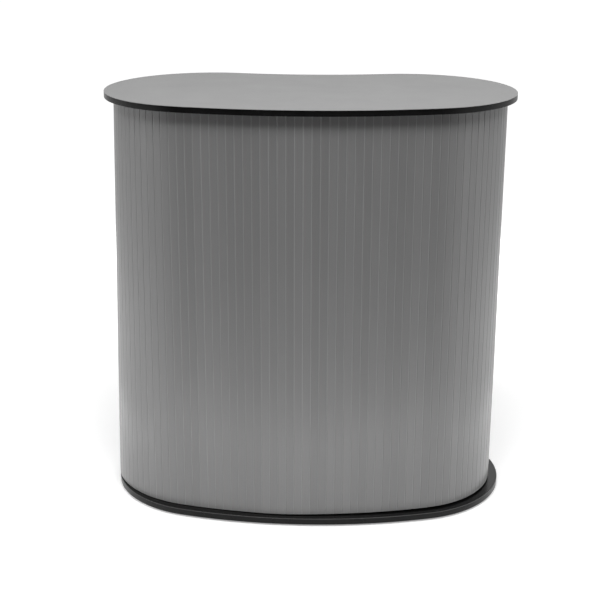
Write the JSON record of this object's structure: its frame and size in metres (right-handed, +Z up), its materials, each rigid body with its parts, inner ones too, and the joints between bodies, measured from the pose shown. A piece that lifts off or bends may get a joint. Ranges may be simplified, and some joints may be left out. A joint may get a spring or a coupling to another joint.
{
  "type": "portable reception desk",
  "caption": "Portable kidney-shaped reception desk: grey top, black base, posts and shelf inside a roll-up slatted wrap, open at the staff side.",
  "frame": {"origin": "on the floor under the middle of the desk, at the bottom centre of its bounding box", "axes": "+Z up, -Y towards the visitors (bulging wrapped side), +Y towards the staff (open hollow side), X along the width"},
  "size_m": [0.9698, 0.532, 1],
  "materials": {
    "grey_laminate": "fine-textured mid-grey laminate on board",
    "black_edging": "satin black edge band",
    "black_board": "satin black laminate on board",
    "grey_slats": "satin mid-grey plastic, one sheet grooved into hinged slats",
    "pale_backing": "pale grey woven backing cloth",
    "grey_channel": "satin grey plastic channel",
    "hook_tape": "black hook tape",
    "satin_aluminium": "satin anodised tube",
    "zinc_steel": "bright zinc-plated steel",
    "black_plastic": "moulded black plastic",
    "black_rubber": "matt black rubber"
  },
  "bodies": {
    "desk": {"base_board": "black_board", "base_edge_band": "black_edging", "base_hook_tape": "hook_tape", "base_locating_plate": "black_board", "base_spigot_back_left": "zinc_steel", "base_spigot_back_right": "zinc_steel", "base_spigot_front_left": "zinc_steel", "base_spigot_front_right": "zinc_steel", "foot_back_left": "black_rubber", "foot_back_middle": "black_rubber", "foot_back_right": "black_rubber", "foot_front_left": "black_rubber", "foot_front_middle": "black_rubber", "foot_front_right": "black_rubber", "left_wrap_stile": "grey_channel", "lower_post_back_left": "satin_aluminium", "lower_post_back_right": "satin_aluminium", "lower_post_front_left": "satin_aluminium", "lower_post_front_right": "satin_aluminium", "post_socket_back_left": "black_plastic", "post_socket_back_right": "black_plastic", "post_socket_front_left": "black_plastic", "post_socket_front_right": "black_plastic", "post_stud_back_left": "zinc_steel", "post_stud_back_right": "zinc_steel", "post_stud_front_left": "zinc_steel", "post_stud_front_right": "zinc_steel", "right_wrap_stile": "grey_channel", "shelf": "black_board", "upper_post_back_left": "satin_aluminium", "upper_post_back_right": "satin_aluminium", "upper_post_front_left": "satin_aluminium", "upper_post_front_right": "satin_aluminium", "wrap_backing": "pale_backing", "wrap_slats": "grey_slats"},
    "top": {"top_board": "black_board", "top_edge_band": "black_edging", "top_hook_tape": "hook_tape", "top_laminate": "grey_laminate", "top_locating_plate": "black_board", "top_spigot_back_left": "zinc_steel", "top_spigot_back_right": "zinc_steel", "top_spigot_front_left": "zinc_steel", "top_spigot_front_right": "zinc_steel"}
  },
  "joints": [
    {"name": "top_lift", "type": "slide", "parent": "desk", "child": "top", "axis": [0, 0, 1], "range_m": [0, 0.06]}
  ]
}
